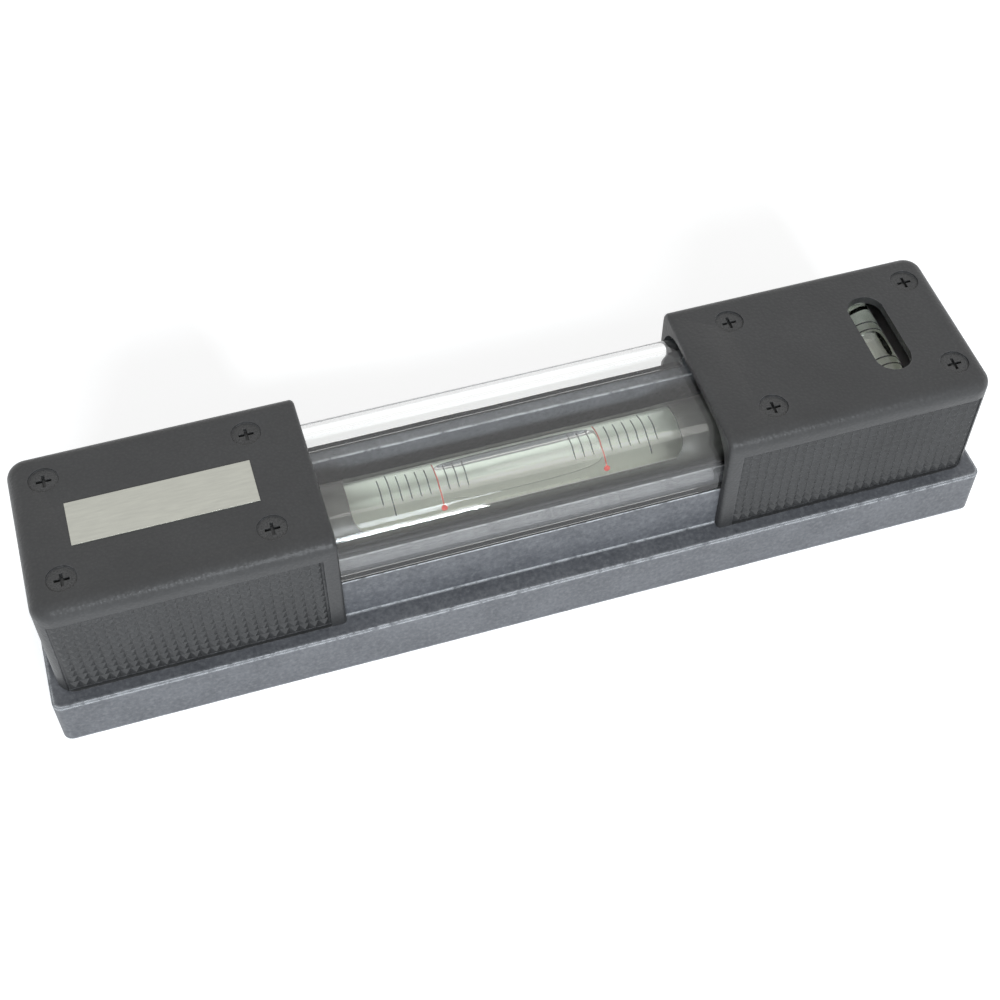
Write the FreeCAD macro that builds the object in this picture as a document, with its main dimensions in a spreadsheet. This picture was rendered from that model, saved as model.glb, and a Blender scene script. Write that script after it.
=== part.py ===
"""Precision machinist level, 200 mm long, as a parametric FreeCAD document (millimetres).

Frame: X runs along the level, Y across it (the front is -Y) and Z up. The origin is the middle
of the sole. Every size is a cell of the sheet, and every sub-part is bound to those cells.
"""
import FreeCAD, Part
import math
import os
import Sketcher
from FreeCAD import Placement, Rotation, Vector

SIZES = [
    # cast base
    ("base_length", 200.0),
    ("base_width", 45.0),
    ("flange_top", 12.4),
    ("base_corner", 2.0),
    ("base_edge", 0.4),
    ("groove_width", 20.0),
    ("groove_depth", 5.8),
    ("relief_width", 2.0),
    ("relief_depth", 1.0),
    ("rib_top", 24.0),
    ("rib_corner", 3.0),
    ("rim_width", 5.1),
    ("rim_end", 7.3),
    ("trough_floor", 10.5),
    ("trough_corner", 3.0),
    ("post_radius", 3.6),
    ("post_gap", 0.1),
    # end covers
    ("cover_ledge", 1.8),
    ("cover_length", 58.1),
    ("cover_width", 39.0),
    ("cover_top", 40.0),
    ("cover_corner", 4.0),
    ("cover_edge", 2.8),
    ("cover_end_edge", 0.9),
    ("cover_wall", 1.6),
    ("cover_roof", 1.8),
    ("end_wall", 2.5),
    ("arch_corner", 7.6),
    ("arch_clearance", 0.15),
    ("cover_gap", 0.3),
    ("boss_radius", 4.4),
    ("boss_drop", 1.6),
    ("grip_inner_border", 3.6),
    ("grip_outer_border", 2.5),
    ("grip_sill", 0.55),
    ("grip_brow", 5.05),
    ("grip_pitch", 2.0),
    ("grip_depth", 0.8),
    ("grip_margin", 0.45),
    ("grip_setback", 0.05),
    ("slot_inset", 17.4),
    ("slot_length", 20.8),
    ("slot_width", 7.8),
    ("slot_corner", 3.85),
    # cover screws
    ("left_screws_inset", 27.1),
    ("right_screws_inset", 26.1),
    ("screw_pitch_x", 40.1),
    ("screw_pitch_y", 24.1),
    ("screw_radius", 1.5),
    ("screw_length", 14.0),
    ("screw_sink", 0.4),
    ("screw_head_radius", 2.85),
    ("screw_head_height", 1.35),
    ("screw_hole_clearance", 0.15),
    ("screw_cone_clearance", 0.02),
    ("thread_clearance", 0.03),
    ("recess_span", 3.0),
    ("recess_width", 0.6),
    ("recess_depth", 0.9),
    # plate on the left cover
    ("plate_inset", 28.2),
    ("plate_length", 36.4),
    ("plate_width", 10.3),
    ("plate_thickness", 0.4),
    ("plate_sink", 0.25),
    # clear hood
    ("hood_reach", 3.8),
    ("hood_top", 37.8),
    ("hood_corner", 9.0),
    ("hood_wall", 2.6),
    ("seal_height", 0.6),
    # vial carrier
    ("vial_axis", 19.5),
    ("vial_inset", 6.0),
    ("vial_radius", 7.0),
    ("vial_wall", 1.2),
    ("vial_end_wall", 1.5),
    ("vial_end_edge", 0.8),
    ("sleeve_left_reach", 5.9),
    ("sleeve_right_reach", 7.9),
    ("sleeve_radius", 8.0),
    ("sleeve_clearance", 0.24),
    ("window_left_inset", 5.7),
    ("window_right_inset", 3.7),
    ("window_width", 14.26),
    ("window_corner", 3.0),
    ("backing_thickness", 0.2),
    ("backing_reach", 3.0),
    ("backing_gap", 0.02),
    ("backing_rise", 3.0),
    ("spirit_gap", 0.05),
    ("scale_middle", 1.95),
    ("scale_division", 2.0),
    ("index_distance", 35.0),
    ("line_width", 0.22),
    ("line_height", 0.06),
    ("index_dot", 1.3),
    ("short_line_from", 68.0),
    ("short_line_to", 112.0),
    ("long_line_from", 44.0),
    ("long_line_to", 125.0),
    ("index_line_from", 37.0),
    ("bubble_width", 8.7),
    ("bubble_depth", 2.0),
    ("plug_fit", 0.03),
    ("plug_flange", 2.0),
    # pivot end of the carrier
    ("pivot_reach", 14.0),
    ("pin_radius", 1.5),
    ("pin_sink", 0.2),
    ("eye_radius", 4.0),
    ("eye_width", 5.0),
    ("pivot_clearance", 0.03),
    # adjusting end of the carrier
    ("adjuster_reach", 15.0),
    ("adjuster_radius", 2.0),
    ("adjuster_clearance", 0.06),
    ("adjuster_top", 30.6),
    ("adjuster_slot_width", 0.8),
    ("adjuster_slot_depth", 1.2),
    ("pilot_radius", 1.5),
    ("pilot_bottom", 8.6),
    ("collar_radius", 3.0),
    ("collar_height", 1.2),
    ("boss_top", 13.0),
    ("adjuster_boss_radius", 5.0),
    ("tongue_width", 9.0),
    ("tongue_thickness", 2.5),
    ("tongue_reach", 4.0),
    ("bridge_top", 30.0),
    ("bridge_width", 10.0),
    ("bridge_thickness", 1.5),
    ("bridge_bend", 1.5),
    ("bridge_hole_radius", 2.4),
    ("foot_setback", 0.2),
    ("foot_screw_inset", 2.3),
    ("foot_screw_radius", 1.25),
    ("foot_screw_length", 7.0),
    ("foot_head_radius", 2.0),
    ("foot_head_height", 1.6),
    ("foot_hole_clearance", 0.1),
    ("spring_radius", 3.3),
    ("spring_wire", 0.4),
    ("spring_turns", 3.5),
    ("spring_gap", 0.05),
    # cross vial
    ("cross_axis", 32.6),
    ("cross_vial_setback", 0.2),
    ("cross_radius", 4.2),
    ("cross_wall", 0.8),
    ("cross_end_wall", 1.0),
    ("cross_backing_rise", 1.0),
    ("ring_inner", 4.0),
    ("ring_outer", 6.0),
    ("ring_width", 0.3),
    ("ring_opening", 20.0),
    ("cross_bubble_length", 7.4),
    ("cross_bubble_width", 5.0),
    ("cross_bubble_depth", 1.25),
    ("saddle_width", 13.0),
    ("saddle_foot_top", 27.0),
    ("saddle_lap", 0.7),
    ("saddle_rise", 1.0),
]

ALONG_X = Rotation(Vector(0, 1, 0), 90)
ALONG_Y = Rotation(Vector(1, 0, 0), -90)
HALF_TURN = Rotation(Vector(0, 0, 1), 180)


class Size:
    """A number together with the sheet expression that it comes from."""

    def __init__(self, value, text):
        self.value = float(value)
        self.text = text

    def __add__(self, other):
        other = as_size(other)
        return Size(self.value + other.value, "(%s + %s)" % (self.text, other.text))

    def __sub__(self, other):
        other = as_size(other)
        return Size(self.value - other.value, "(%s - %s)" % (self.text, other.text))

    def __mul__(self, other):
        other = as_size(other)
        return Size(self.value * other.value, "(%s * %s)" % (self.text, other.text))

    def __truediv__(self, other):
        other = as_size(other)
        return Size(self.value / other.value, "(%s / %s)" % (self.text, other.text))

    def __neg__(self):
        return Size(-self.value, "(-%s)" % self.text)


def as_size(item):
    """Return a plain number as a Size, and a Size as it is."""
    if isinstance(item, Size):
        return item
    return Size(item, repr(float(item)))


ZERO = as_size(0)

doc = FreeCAD.newDocument("MachinistLevel")
sheet = doc.addObject("Spreadsheet::Sheet", "Sizes")
for row, (alias, value) in enumerate(SIZES, start=1):
    sheet.set("A%d" % row, alias)
    sheet.set("B%d" % row, str(value))
    sheet.setAlias("B%d" % row, alias)
doc.recompute()


class Sizes:
    """Gives each cell of the sheet as a Size under its alias."""

    def __getattr__(self, alias):
        return Size(sheet.get(alias), "Sizes." + alias)


size = Sizes()
nodes = {}


def node(label, item):
    """Name item as the sub-part of that label."""
    item.Label = label
    nodes[label] = item
    return item


def bind(item, property_name, length):
    """Tie one property of an object to the sheet."""
    item.setExpression(property_name, as_size(length).text)


def move_to(item, x, y, z, turn=None):
    """Tie the place of an object to the sheet, after giving it its rotation."""
    if turn is not None:
        item.Placement = Placement(Vector(), turn)
    for axis, distance in zip("xyz", (x, y, z)):
        bind(item, "Placement.Base." + axis, distance)


# ---- solids made of primitives -----------------------------------------------------------------

def block(name, x, y, z):
    """Box between the two ends given for each axis."""
    item = doc.addObject("Part::Box", name)
    for property_name, (low, high) in zip(("Length", "Width", "Height"), (x, y, z)):
        bind(item, property_name, as_size(high) - low)
    move_to(item, x[0], y[0], z[0])
    return item


def rod(name, radius, ends, x=ZERO, y=ZERO, z=ZERO, turn=None):
    """Cylinder along Z, or along the axis that turn gives, between two ends on that axis."""
    item = doc.addObject("Part::Cylinder", name)
    bind(item, "Radius", radius)
    bind(item, "Height", as_size(ends[1]) - ends[0])
    if turn is ALONG_X:
        move_to(item, ends[0], y, z, turn)
    elif turn is ALONG_Y:
        move_to(item, x, ends[0], z, turn)
    else:
        move_to(item, x, y, ends[0])
    return item


def cut(name, base, tool):
    """Base without tool."""
    item = doc.addObject("Part::Cut", name)
    item.Base = base
    item.Tool = tool
    return item


def join(name, items):
    """One solid from several that meet."""
    item = doc.addObject("Part::MultiFuse", name)
    item.Shapes = items
    return item


def overlap(name, items):
    """What the given solids share."""
    item = doc.addObject("Part::MultiCommon", name)
    item.Shapes = items
    return item


def group(name, items):
    """Separate solids as one object."""
    item = doc.addObject("Part::Compound", name)
    item.Links = items
    return item


# ---- bodies made of sketches and features ------------------------------------------------------

def new_body(name):
    return doc.addObject("PartDesign::Body", name)


def new_sketch(body, name, plane, level):
    """Empty sketch parallel to an origin plane, at a level along that plane's axis."""
    sketch = body.newObject("Sketcher::SketchObject", name)
    support = [item for item in body.Origin.OriginFeatures if item.Role == plane][0]
    sketch.AttachmentSupport = [(support, "")]
    sketch.MapMode = "FlatFace"
    offset = as_size(level)
    if plane == "XZ_Plane":
        offset = -offset
    bind(sketch, "AttachmentOffset.Base.z", offset)
    return sketch


def tie(sketch, direction, geometry, end, length):
    """Hold the end of a line, or a circle's centre, at a distance from the sketch's origin."""
    length = as_size(length)
    if length.text == ZERO.text:
        axis = -2 if direction == "DistanceX" else -1
        sketch.addConstraint(Sketcher.Constraint("PointOnObject", geometry, end, axis))
        return
    if length.value < 0:
        length = -length
        rule = Sketcher.Constraint(direction, geometry, end, -1, 1, length.value)
    else:
        rule = Sketcher.Constraint(direction, -1, 1, geometry, end, length.value)
    number = sketch.addConstraint(rule)
    sketch.setExpression("Constraints[%d]" % number, length.text)


def outline(body, name, plane, level, corners):
    """Closed outline of straight lines through corners that each follow two sizes."""
    sketch = new_sketch(body, name, plane, level)
    points = [Vector(as_size(u).value, as_size(v).value, 0) for u, v in corners]
    for start, end in zip(points, points[1:] + points[:1]):
        sketch.addGeometry(Part.LineSegment(start, end), False)
    for index in range(len(points)):
        following = (index + 1) % len(points)
        sketch.addConstraint(Sketcher.Constraint("Coincident", index, 2, following, 1))
    for index, (u, v) in enumerate(corners):
        tie(sketch, "DistanceX", index, 1, u)
        tie(sketch, "DistanceY", index, 1, v)
    return sketch


def rectangle(body, name, plane, level, u, v):
    """Rectangle between the two ends given for each direction of the sketch."""
    corners = [(u[0], v[0]), (u[1], v[0]), (u[1], v[1]), (u[0], v[1])]
    return outline(body, name, plane, level, corners)


def arch(body, name, plane, level, half_width, low, top, corner):
    """Upright outline with a flat foot and two rounded upper corners, on the middle line."""
    sketch = new_sketch(body, name, plane, level)
    side, foot, head, radius = half_width.value, low.value, top.value, corner.value
    up = Vector(0, 0, 1)
    lines = [
        Part.LineSegment(Vector(-side, foot, 0), Vector(side, foot, 0)),
        Part.LineSegment(Vector(side, foot, 0), Vector(side, head - radius, 0)),
        Part.LineSegment(Vector(side - radius, head, 0), Vector(radius - side, head, 0)),
        Part.LineSegment(Vector(-side, head - radius, 0), Vector(-side, foot, 0)),
    ]
    right = Part.Circle(Vector(side - radius, head - radius, 0), up, radius)
    left = Part.Circle(Vector(radius - side, head - radius, 0), up, radius)
    arcs = [
        Part.ArcOfCircle(right, 0, math.pi / 2),
        Part.ArcOfCircle(left, math.pi / 2, math.pi),
    ]
    for geometry in lines + arcs:
        sketch.addGeometry(geometry, False)
    foot_line, right_line, top_line, left_line, right_arc, left_arc = range(6)
    rules = [
        ("Coincident", foot_line, 2, right_line, 1),
        ("Coincident", left_line, 2, foot_line, 1),
        ("Tangent", right_line, 2, right_arc, 1),
        ("Tangent", right_arc, 2, top_line, 1),
        ("Tangent", top_line, 2, left_arc, 1),
        ("Tangent", left_arc, 2, left_line, 1),
        ("Vertical", right_line),
        ("Vertical", left_line),
        ("Horizontal", top_line),
    ]
    for rule in rules:
        sketch.addConstraint(Sketcher.Constraint(*rule))
    tie(sketch, "DistanceX", foot_line, 1, -half_width)
    tie(sketch, "DistanceX", foot_line, 2, half_width)
    tie(sketch, "DistanceY", foot_line, 1, low)
    tie(sketch, "DistanceY", foot_line, 2, low)
    tie(sketch, "DistanceY", top_line, 1, top)
    for arc in (right_arc, left_arc):
        number = sketch.addConstraint(Sketcher.Constraint("Radius", arc, radius))
        sketch.setExpression("Constraints[%d]" % number, corner.text)
    return sketch


def circles(body, name, plane, level, centres, radius):
    """Circles of one radius about centres that each follow two sizes."""
    sketch = new_sketch(body, name, plane, level)
    for index, (u, v) in enumerate(centres):
        middle = Vector(as_size(u).value, as_size(v).value, 0)
        sketch.addGeometry(Part.Circle(middle, Vector(0, 0, 1), radius.value), False)
        tie(sketch, "DistanceX", index, 3, u)
        tie(sketch, "DistanceY", index, 3, v)
        number = sketch.addConstraint(Sketcher.Constraint("Radius", index, radius.value))
        sketch.setExpression("Constraints[%d]" % number, radius.text)
    return sketch


def feature(body, kind, name, sketch, length):
    """Pad or Pocket of a sketch: a Pad runs up its plane's axis and a Pocket down it."""
    item = body.newObject("PartDesign::" + kind, name)
    item.Profile = sketch
    bind(item, "Length", length)
    sketch.Visibility = False
    doc.recompute()
    return item


def soften(body, kind, name, edge_test, amount):
    """Fillet or Chamfer on the edges of the body's tip that pass the test."""
    doc.recompute()
    tip = body.Tip
    chosen = ["Edge%d" % (index + 1) for index, edge in enumerate(tip.Shape.Edges) if edge_test(edge)]
    item = body.newObject("PartDesign::" + kind, name)
    item.Base = (tip, chosen)
    bind(item, "Radius" if kind == "Fillet" else "Size", amount)
    doc.recompute()
    return item


def near(first, second):
    return abs(first - second) < 1e-4


def upright(edge):
    """True for a straight edge along Z."""
    box = edge.BoundBox
    return box.XLength < 1e-4 and box.YLength < 1e-4 and box.ZLength > 1e-4


def level_at(edge, height):
    """True for an edge that lies wholly at one height."""
    return near(edge.BoundBox.ZMin, height) and near(edge.BoundBox.ZMax, height)


# ---- places that several pieces share ----------------------------------------------------------

cover_outer = size.base_length / 2 - size.cover_ledge
cover_inner = cover_outer - size.cover_length
rib_half_length = cover_outer - size.cover_wall - size.cover_gap
rib_half_width = size.cover_width / 2 - size.cover_wall - size.cover_gap
trough_half_length = rib_half_length - size.rim_end
trough_half_width = rib_half_width - size.rim_width
slot_middle = cover_outer - size.slot_inset
plate_middle = -cover_outer + size.plate_inset
hood_half_length = cover_inner + size.hood_reach
sleeve_left = cover_inner + size.sleeve_left_reach
sleeve_right = cover_inner + size.sleeve_right_reach
vial_left = sleeve_left - size.vial_inset
vial_right = sleeve_right - size.vial_inset
window_left = cover_inner - size.window_left_inset
window_right = cover_inner - size.window_right_inset
pivot_distance = sleeve_left + size.pivot_reach
adjuster_distance = sleeve_right + size.adjuster_reach
foot_end = rib_half_width - size.foot_setback
saddle_half_length = trough_half_width + size.saddle_lap
cross_half_length = saddle_half_length - size.cross_vial_setback
roof_under = size.cover_top - size.cover_roof
boss_under = roof_under - size.boss_drop
post_top = boss_under - size.post_gap
hood_foot = size.rib_top + size.seal_height
sleeve_bore = size.vial_radius + size.sleeve_clearance
vial_bore = size.vial_radius - size.vial_wall
cross_bore = size.cross_radius - size.cross_wall
tongue_top = size.vial_axis + size.tongue_thickness / 2
bridge_under = size.bridge_top - size.bridge_thickness
backing_outer = size.vial_radius + size.backing_gap + size.backing_thickness
cross_backing_outer = size.cross_radius + size.backing_gap + size.backing_thickness
saddle_bore = cross_backing_outer + size.backing_gap


def screw_places(inset, side):
    """Centres of one cover's four screws."""
    middle = cover_outer - inset
    places = []
    for along in (-0.5, 0.5):
        for across in (-0.5, 0.5):
            x = middle * side + size.screw_pitch_x * along
            places.append((x, size.screw_pitch_y * across))
    return places


def foot_screw_places(x):
    """Centres of the two screws through a foot on each rim of the rib."""
    y = rib_half_width - size.foot_screw_inset
    return [(x, -y), (x, y)]


cover_screws = {
    "left": screw_places(size.left_screws_inset, -1),
    "right": screw_places(size.right_screws_inset, 1),
}


# ---- cast base ---------------------------------------------------------------------------------

def make_base():
    body = new_body("BaseCasting")
    half_length = size.base_length / 2
    half_width = size.base_width / 2
    half_rib = rib_half_width
    plan = rectangle(body, "FlangePlan", "XY_Plane", ZERO,
                     (-half_length, half_length), (-half_width, half_width))
    feature(body, "Pad", "Flange", plan, size.flange_top)
    soften(body, "Fillet", "FlangeCorners", upright, size.base_corner)
    soften(body, "Chamfer", "FlangeEdges",
           lambda edge: not upright(edge), size.base_edge)

    plan = rectangle(body, "RibPlan", "XY_Plane", size.flange_top,
                     (-(rib_half_length), rib_half_length), (-half_rib, half_rib))
    feature(body, "Pad", "Rib", plan, size.rib_top - size.flange_top)
    soften(body, "Fillet", "RibCorners",
           lambda edge: upright(edge) and near(edge.BoundBox.ZMax, size.rib_top.value),
           size.rib_corner)
    plan = rectangle(body, "TroughPlan", "XY_Plane", size.rib_top,
                     (-(trough_half_length), trough_half_length),
                     (-(trough_half_width), trough_half_width))
    feature(body, "Pocket", "Trough", plan, size.rib_top - size.trough_floor)
    soften(body, "Fillet", "TroughCorners",
           lambda edge: upright(edge) and near(edge.BoundBox.ZMin, size.trough_floor.value),
           size.trough_corner)

    places = cover_screws["left"] + cover_screws["right"]
    posts = circles(body, "PostPlan", "XY_Plane", size.trough_floor, places, size.post_radius)
    feature(body, "Pad", "ScrewPosts", posts, post_top - size.trough_floor)
    bores = circles(body, "PostBorePlan", "XY_Plane", post_top, places,
                    size.screw_radius + size.thread_clearance)
    feature(body, "Pocket", "PostBores", bores, size.screw_length)

    middle = [(adjuster_distance, ZERO)]
    boss = circles(body, "BossPlan", "XY_Plane", size.trough_floor, middle,
                   size.adjuster_boss_radius)
    feature(body, "Pad", "AdjusterBoss", boss, size.boss_top - size.trough_floor)
    bore = circles(body, "PilotBorePlan", "XY_Plane", size.boss_top, middle,
                   size.pilot_radius + size.pivot_clearance)
    feature(body, "Pocket", "PilotBore", bore, size.boss_top - size.pilot_bottom)
    places = foot_screw_places(adjuster_distance) + foot_screw_places(slot_middle)
    bores = circles(body, "FootBorePlan", "XY_Plane", size.rib_top, places,
                    size.foot_screw_radius + size.thread_clearance)
    feature(body, "Pocket", "FootBores", bores, size.foot_screw_length)

    bore = circles(body, "PinBorePlan", "XZ_Plane", -half_rib,
                   [(-pivot_distance, size.vial_axis)], size.pin_radius)
    feature(body, "Pocket", "PinBore", bore, half_rib * 2)

    half_groove = size.groove_width / 2
    half_relief = size.relief_width / 2
    shoulder = size.groove_depth - size.groove_depth * size.relief_width / size.groove_width
    corners = [
        (-half_groove, ZERO),
        (half_groove, ZERO),
        (half_relief, shoulder),
        (half_relief, shoulder + size.relief_depth),
        (-half_relief, shoulder + size.relief_depth),
        (-half_relief, shoulder),
    ]
    section = outline(body, "GrooveSection", "YZ_Plane", half_length, corners)
    feature(body, "Pocket", "PrismaticGroove", section, size.base_length)
    node("base_casting", body)


# ---- moulded covers ----------------------------------------------------------------------------

def grip_cutter(x_low, face_y, outward):
    """Solid that cuts one field of square pyramids, and the flat groove round it, into a wall."""
    length = (size.cover_length - size.grip_inner_border - size.grip_outer_border).value
    low_z = size.flange_top + size.grip_sill
    height = (size.cover_top - size.grip_brow - low_z).value
    columns = max(1, round(length / size.grip_pitch.value))
    rows = max(1, round(height / size.grip_pitch.value))
    margin = size.grip_margin.value
    floor_y = face_y - outward * size.grip_depth.value
    tip_y = face_y - outward * size.grip_setback.value
    clear_y = face_y + outward
    step_x = length / columns
    step_z = height / rows
    z_low = low_z.value

    def corner(column, row):
        return Vector(x_low + column * step_x, floor_y, z_low + row * step_z)

    def panel(points):
        return Part.Face(Part.makePolygon(points + points[:1]))

    faces = []
    for column in range(columns):
        for row in range(rows):
            tip = Vector(x_low + (column + 0.5) * step_x, tip_y, z_low + (row + 0.5) * step_z)
            ring = [corner(column, row), corner(column + 1, row),
                    corner(column + 1, row + 1), corner(column, row + 1)]
            for start, end in zip(ring, ring[1:] + ring[:1]):
                faces.append(panel([start, end, tip]))
    rim = [corner(column, 0) for column in range(columns)]
    rim += [corner(columns, row) for row in range(rows)]
    rim += [corner(column, rows) for column in range(columns, 0, -1)]
    rim += [corner(0, row) for row in range(rows, 0, -1)]
    x_ends = (x_low - margin, x_low + length + margin)
    z_ends = (z_low - margin, z_low + height + margin)
    plan = [(x_ends[0], z_ends[0]), (x_ends[1], z_ends[0]),
            (x_ends[1], z_ends[1]), (x_ends[0], z_ends[1])]
    inner = [Vector(x, floor_y, z) for x, z in plan]
    outer = [Vector(x, clear_y, z) for x, z in plan]
    rims = [Part.makePolygon(inner + inner[:1]), Part.makePolygon(rim + rim[:1])]
    groove = Part.makeFace(rims, "Part::FaceMakerBullseye")
    faces += [groove, panel(outer)]
    for index in range(4):
        following = (index + 1) % 4
        faces.append(panel([inner[index], inner[following], outer[following], outer[index]]))
    skin = Part.Compound(faces)
    skin.sewShape()
    solid = Part.Solid(skin.Shells[0])
    if solid.Volume < 0:
        solid.reverse()
    return solid


def make_cover(side, label, places):
    """One end cover; side is -1 for the left one and 1 for the right one."""
    title = label.title().replace("_", "")
    body = new_body(title + "Moulding")
    inner = cover_inner * side
    outer = cover_outer * side
    low, high = (inner, outer) if side > 0 else (outer, inner)
    half_width = size.cover_width / 2
    plan = rectangle(body, title + "Plan", "XY_Plane", size.flange_top,
                     (low, high), (-half_width, half_width))
    feature(body, "Pad", title + "Block", plan, size.cover_top - size.flange_top)
    soften(body, "Fillet", title + "Corners",
           lambda edge: upright(edge) and near(edge.BoundBox.XMin, outer.value),
           size.cover_corner)
    soften(body, "Fillet", title + "TopEdges",
           lambda edge: level_at(edge, size.cover_top.value)
           and not (near(edge.BoundBox.XMin, inner.value) and near(edge.BoundBox.XMax, inner.value)),
           size.cover_edge)
    soften(body, "Fillet", title + "EndEdges",
           lambda edge: near(edge.BoundBox.XMin, inner.value) and near(edge.BoundBox.XMax, inner.value)
           and not level_at(edge, size.flange_top.value),
           size.cover_end_edge)

    wall = size.cover_wall
    if side > 0:
        cavity = (low + size.end_wall, high - wall)
    else:
        cavity = (low + wall, high - size.end_wall)
    plan = rectangle(body, title + "CavityPlan", "XY_Plane", roof_under,
                     cavity, (wall - half_width, half_width - wall))
    feature(body, "Pocket", title + "Cavity", plan, roof_under - size.flange_top)
    cavity_end = cavity[1] if side > 0 else cavity[0]
    soften(body, "Fillet", title + "CavityCorners",
           lambda edge: upright(edge) and near(edge.BoundBox.XMin, cavity_end.value),
           size.cover_corner - wall)
    opening = arch(body, title + "ArchSection", "YZ_Plane",
                   low + size.end_wall if side > 0 else high,
                   rib_half_width + size.arch_clearance, size.flange_top,
                   size.hood_top + size.arch_clearance, size.arch_corner)
    feature(body, "Pocket", title + "Arch", opening, size.end_wall)

    bosses = circles(body, title + "BossPlan", "XY_Plane", boss_under, places, size.boss_radius)
    feature(body, "Pad", title + "Bosses", bosses, size.boss_drop)
    hole_radius = size.screw_radius + size.screw_hole_clearance
    holes = circles(body, title + "HolePlan", "XY_Plane", size.cover_top, places, hole_radius)
    feature(body, "Pocket", title + "Holes", holes, size.cover_top - boss_under)
    sinks = circles(body, title + "SinkPlan", "XY_Plane", size.cover_top, places,
                    size.screw_head_radius + size.screw_hole_clearance)
    feature(body, "Pocket", title + "Sinks", sinks, size.screw_sink)
    sink_floor = size.cover_top.value - size.screw_sink.value
    soften(body, "Chamfer", title + "Cones",
           lambda edge: level_at(edge, sink_floor) and near(edge.BoundBox.XLength, 2 * hole_radius.value),
           size.screw_head_radius + size.screw_cone_clearance - hole_radius)

    if side > 0:
        half_slot = size.slot_width / 2
        plan = rectangle(body, title + "SlotPlan", "XY_Plane", size.cover_top,
                         (slot_middle - half_slot, slot_middle + half_slot),
                         (-(size.slot_length / 2), size.slot_length / 2))
        feature(body, "Pocket", title + "Slot", plan, size.cover_roof)
        soften(body, "Fillet", title + "SlotEnds",
               lambda edge: upright(edge) and near(edge.BoundBox.ZMin, roof_under.value)
               and near(abs(edge.BoundBox.YMin), size.slot_length.value / 2),
               size.slot_corner)
    else:
        half_plate = size.plate_length / 2
        plan = rectangle(body, title + "PlateSeatPlan", "XY_Plane", size.cover_top,
                         (plate_middle - half_plate, plate_middle + half_plate),
                         (-(size.plate_width / 2), size.plate_width / 2))
        feature(body, "Pocket", title + "PlateSeat", plan, size.plate_sink)

    cutters = doc.addObject("Part::Feature", title + "GripCutters")
    border = size.grip_inner_border if side > 0 else size.grip_outer_border
    x_low = (low + border).value
    face = half_width.value
    cutters.Shape = Part.Compound([grip_cutter(x_low, -face, -1), grip_cutter(x_low, face, 1)])
    node(label, cut(title + "WithGrips", body, cutters))


def make_cover_screws(label, places):
    """Four countersunk screws with a cross recess."""
    head_top = size.cover_top - size.screw_sink
    head_under = head_top - size.screw_head_height
    screws = []
    for number, (x, y) in enumerate(places):
        title = "%s%d" % (label.title().replace("_", ""), number)
        shank = rod(title + "Shank", size.screw_radius,
                    (post_top + size.screw_hole_clearance - size.screw_length, head_under), x, y)
        head = doc.addObject("Part::Cone", title + "Head")
        bind(head, "Radius1", size.screw_radius)
        bind(head, "Radius2", size.screw_head_radius)
        bind(head, "Height", size.screw_head_height)
        move_to(head, x, y, head_under)
        blank = join(title + "Blank", [shank, head])
        half_span = size.recess_span / 2
        half_width = size.recess_width / 2
        depth = (head_top - size.recess_depth, head_top)
        first = block(title + "RecessA", (x - half_span, x + half_span),
                      (y - half_width, y + half_width), depth)
        second = block(title + "RecessB", (x - half_width, x + half_width),
                       (y - half_span, y + half_span), depth)
        cross = join(title + "Cross", [first, second])
        screws.append(cut(title, blank, cross))
    node(label, group(label.title().replace("_", ""), screws))


def make_plate():
    half_length = size.plate_length / 2
    half_width = size.plate_width / 2
    bottom = size.cover_top - size.plate_sink
    node("label_plate", block("LabelPlate",
                              (plate_middle - half_length, plate_middle + half_length),
                              (-half_width, half_width), (bottom, bottom + size.plate_thickness)))


# ---- hood --------------------------------------------------------------------------------------

def make_hood():
    body = new_body("ClearHood")
    half_length = hood_half_length
    half_width = rib_half_width
    section = arch(body, "HoodOutside", "YZ_Plane", -half_length, half_width, hood_foot,
                   size.hood_top, size.hood_corner)
    feature(body, "Pad", "HoodBlock", section, hood_half_length * 2)
    section = arch(body, "HoodInside", "YZ_Plane", half_length, half_width - size.hood_wall,
                   hood_foot, size.hood_top - size.hood_wall, size.hood_corner - size.hood_wall)
    feature(body, "Pocket", "HoodHollow", section, hood_half_length * 2)
    node("clear_hood", body)

    strips = []
    for name, inner, outer in (("FrontSeal", -half_width, size.hood_wall - half_width),
                               ("BackSeal", half_width - size.hood_wall, half_width)):
        strips.append(block(name, (-half_length, half_length), (inner, outer),
                            (size.rib_top, hood_foot)))
    node("hood_seals", group("HoodSeals", strips))


# ---- main vial and its carrier -----------------------------------------------------------------

def make_sleeve():
    ends = (-sleeve_left, sleeve_right)
    axis = size.vial_axis
    outside = rod("SleeveOutside", size.sleeve_radius, ends, z=axis, turn=ALONG_X)
    bore = rod("SleeveBore", sleeve_bore, ends, z=axis, turn=ALONG_X)
    tube = cut("SleeveTube", outside, bore)
    opening = new_body("WindowOpening")
    plan = rectangle(opening, "WindowPlan", "XY_Plane", axis,
                     (-window_left, window_right),
                     (-(size.window_width / 2), size.window_width / 2))
    feature(opening, "Pad", "Window", plan, size.sleeve_radius)
    soften(opening, "Fillet", "WindowCorners", upright, size.window_corner)
    node("vial_sleeve", cut("VialSleeve", tube, opening))


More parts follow.
